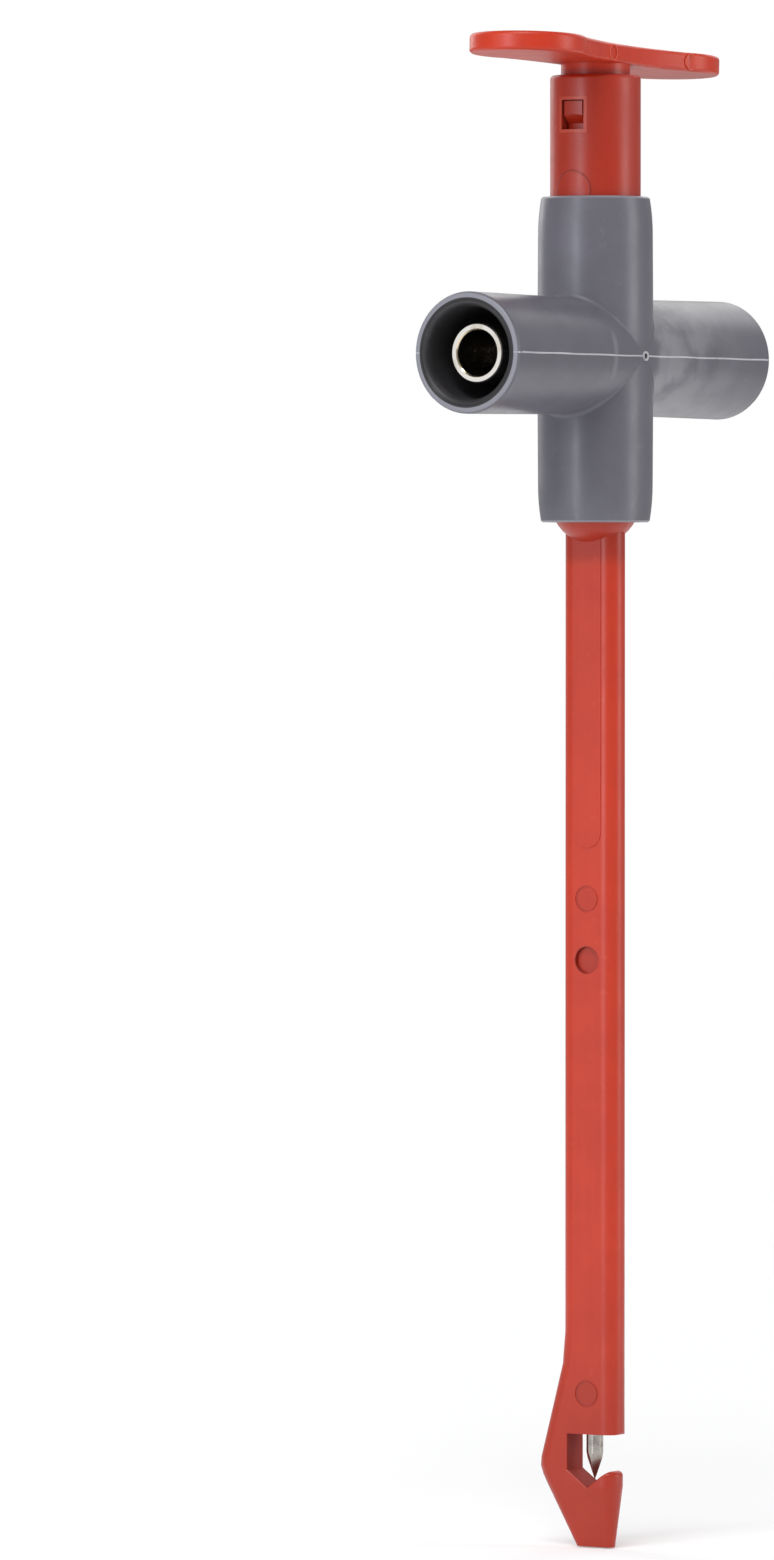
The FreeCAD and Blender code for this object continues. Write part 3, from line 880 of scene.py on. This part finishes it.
def placeCamera():
    # it aims at the middle of the picture, and the part stands to the right of that
    perPx = view["frameHeight"] / view["frameHeightPx"]
    a = math.radians(view["azimuth"])
    right = np.array([math.cos(a), math.sin(a), 0.0])
    back = np.array([math.sin(a), -math.cos(a), 0.0])
    up = np.array([0.0, 0.0, 1.0])
    aside = (view["axisPx"] - view["frameWidthPx"] / 2) * perPx * right
    target = (view["originPx"] - view["frameHeightPx"] / 2) * perPx * up - aside
    eye = (view["originPx"] - view["eyeLevelPx"]) * perPx * up - aside + view["distance"] * back
    data = bpy.data.cameras.new("photoCamera")
    data.sensor_width = view["sensorWidth"]
    data.lens = view["sensorWidth"] * np.linalg.norm(eye - target) / view["frameHeight"]
    data.clip_start, data.clip_end = view["clip"]
    camera = bpy.data.objects.new("photoCamera", data)
    bpy.context.scene.collection.objects.link(camera)
    camera.location = eye
    camera.rotation_mode = "QUATERNION"
    camera.rotation_quaternion = Vector(target - eye).to_track_quat("-Z", "Y")
    bpy.context.scene.camera = camera


placeCamera()
bpy.context.scene.view_settings.view_transform = "Standard"
print("camera placed")


# Floor and light. A lamp is its place, its size and its power in watts
studio = {
    "floorDrop": 0.1 * mm,
    "floorRadius": 0.6,
    "floorSides": 64,
    "floorColour": (0.82, 0.82, 0.82, 1),
    "fadeStart": 0.3,
    "fadeEnd": 0.58,
    "floorGlow": 0.21,
    "floorSheen": 0.35,
    "ambient": 0.47,
    "mirrored": 0.32,
    "aim": (0, 0, -0.03),
    "lamps": {
        "keyLamp": ((0.2, -0.56, 0.74), (0.45, 0.45), 4.3),
        "leftLamp": ((-0.3, -0.74, 0.0), (0.5, 0.7), 0.85),
        "bandLamp": ((-0.11, -0.82, 0.12), (0.1, 0.7), 2.2),
        "rightLamp": ((0.76, 0.33, 0.05), (0.3, 0.8), 2.6),
        "farLamp": ((-0.15, 0.75, 0.42), (0.6, 0.4), 1.25),
        "backLamp": ((-0.7, 0.3, 0.3), (0.4, 0.6), 1.6),
    },
    "tints": {"bandLamp": (0.86, 0.9, 1.0), "leftLamp": (0.93, 0.95, 1.0)},
}


def makeWorld():
    # white to the camera, softer light to the surfaces, and softer still in their reflections
    world = bpy.data.worlds.new("studioWorld")
    world.use_nodes = True
    tree = world.node_tree
    tree.nodes.clear()
    path = addNode(tree, "ShaderNodeLightPath")
    shown = {"Is Glossy Ray": studio["mirrored"], "Is Camera Ray": 1.0}
    surface = addNode(tree, "ShaderNodeBackground", {"Strength": studio["ambient"]}).outputs[0]
    for ray, strength in shown.items():
        seen = addNode(tree, "ShaderNodeBackground", {"Color": (1, 1, 1, 1), "Strength": strength})
        mix = addNode(tree, "ShaderNodeMixShader", {0: path.outputs[ray], 1: surface, 2: seen.outputs[0]})
        surface = mix.outputs[0]
    addNode(tree, "ShaderNodeOutputWorld", {"Surface": surface})
    bpy.context.scene.world = world


def floorMaterial():
    # a pale matt floor with a little glow, clear at its rim and from below
    material = bpy.data.materials.new("paleFloor")
    material.use_nodes = True
    tree = material.node_tree
    tree.nodes.clear()
    diffuse = addNode(tree, "ShaderNodeBsdfDiffuse", {"Color": studio["floorColour"]})
    path = addNode(tree, "ShaderNodeLightPath")
    seen = productNode(tree, path.outputs["Is Camera Ray"], studio["floorGlow"])
    mirrored = productNode(tree, path.outputs["Is Glossy Ray"], studio["floorSheen"])
    glow = addNode(tree, "ShaderNodeEmission", {"Strength": mathNode(tree, "ADD", seen, mirrored)})
    lit = addNode(tree, "ShaderNodeAddShader", {0: diffuse.outputs[0], 1: glow.outputs[0]})
    place = addNode(tree, "ShaderNodeTexCoord").outputs["Object"]
    away = lengthNode(tree, stretchNode(tree, place, (1.0, 1.0, 0.0)))
    fade = rampNode(tree, away, studio["fadeStart"], studio["fadeEnd"])
    fromBelow = addNode(tree, "ShaderNodeNewGeometry").outputs["Backfacing"]
    hidden = mathNode(tree, "MAXIMUM", fade, fromBelow)
    clear = addNode(tree, "ShaderNodeBsdfTransparent")
    mix = addNode(tree, "ShaderNodeMixShader", {0: hidden, 1: lit.outputs[0], 2: clear.outputs[0]})
    addNode(tree, "ShaderNodeOutputMaterial", {"Surface": mix.outputs[0]})
    return material


def makeFloor():
    # a disc that holds the shadow near the part and fades to the white behind it
    mesh = bpy.data.meshes.new("floor")
    angle = roundAngles(studio["floorSides"])
    rim = np.stack([np.cos(angle), np.sin(angle), np.zeros_like(angle)], -1) * studio["floorRadius"]
    rim[:, 2] = cadBox[0].z - studio["floorDrop"]
    mesh.from_pydata(rim.tolist(), [], [list(range(len(angle)))])
    mesh.materials.append(floorMaterial())
    floor = bpy.data.objects.new("floor", mesh)
    bpy.context.scene.collection.objects.link(floor)


def makeLamps():
    aim = Vector(studio["aim"])
    for name, (place, size, power) in studio["lamps"].items():
        data = bpy.data.lights.new(name, "AREA")
        data.shape = "RECTANGLE"
        data.size, data.size_y = size
        data.energy = power
        data.color = studio["tints"].get(name, (1, 1, 1))
        lamp = bpy.data.objects.new(name, data)
        bpy.context.scene.collection.objects.link(lamp)
        lamp.location = place
        lamp.rotation_mode = "QUATERNION"
        lamp.rotation_quaternion = (aim - Vector(place)).to_track_quat("-Z", "Y")


makeWorld()
makeFloor()
makeLamps()
print("studio set")
